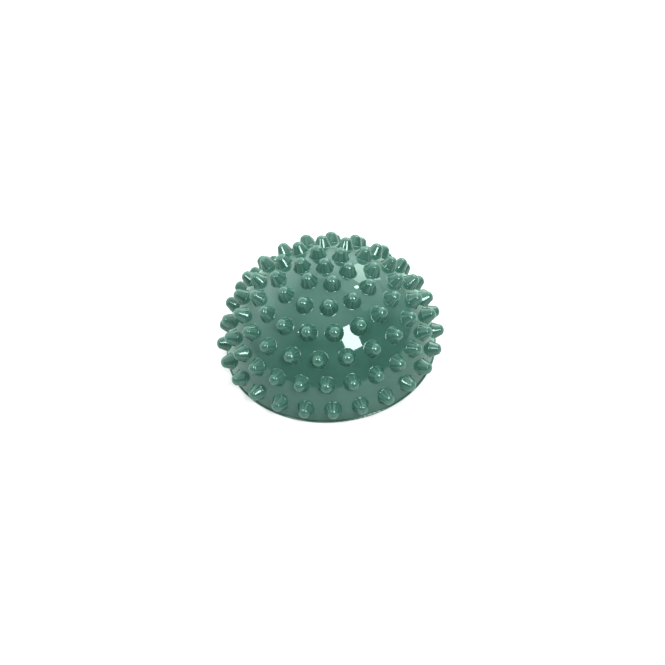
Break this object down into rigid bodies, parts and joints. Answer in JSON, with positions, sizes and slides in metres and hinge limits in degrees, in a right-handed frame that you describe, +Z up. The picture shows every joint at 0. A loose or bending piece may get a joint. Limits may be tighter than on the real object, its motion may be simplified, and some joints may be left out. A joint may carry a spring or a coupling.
{
  "type": "massage half ball",
  "caption": "Air-filled half-dome massage ball with rings of blunt spikes, a flat welded base and an inflation valve with a pull-out plug.",
  "frame": {"origin": "centre of the flat foot, on the surface that the half ball stands on", "axes": "+Z up through the top spike; +X to the right as seen from the front, -Y towards the viewer"},
  "size_m": [0.1593, 0.1592, 0.0798],
  "materials": {
    "dome_vinyl": "glossy soft vinyl",
    "base_vinyl": "satin soft vinyl",
    "seat_rubber": "satin rubber",
    "plug_plastic": "satin"
  },
  "bodies": {
    "half_ball": {"spiked_dome": "dome_vinyl", "base_disc": "base_vinyl", "valve_seat": "seat_rubber"},
    "plug": {"valve_plug": "plug_plastic"}
  },
  "joints": [
    {"name": "plug_pull", "type": "slide", "parent": "half_ball", "child": "plug", "axis": [0, 0, -1], "range_m": [0, 0.014]}
  ]
}
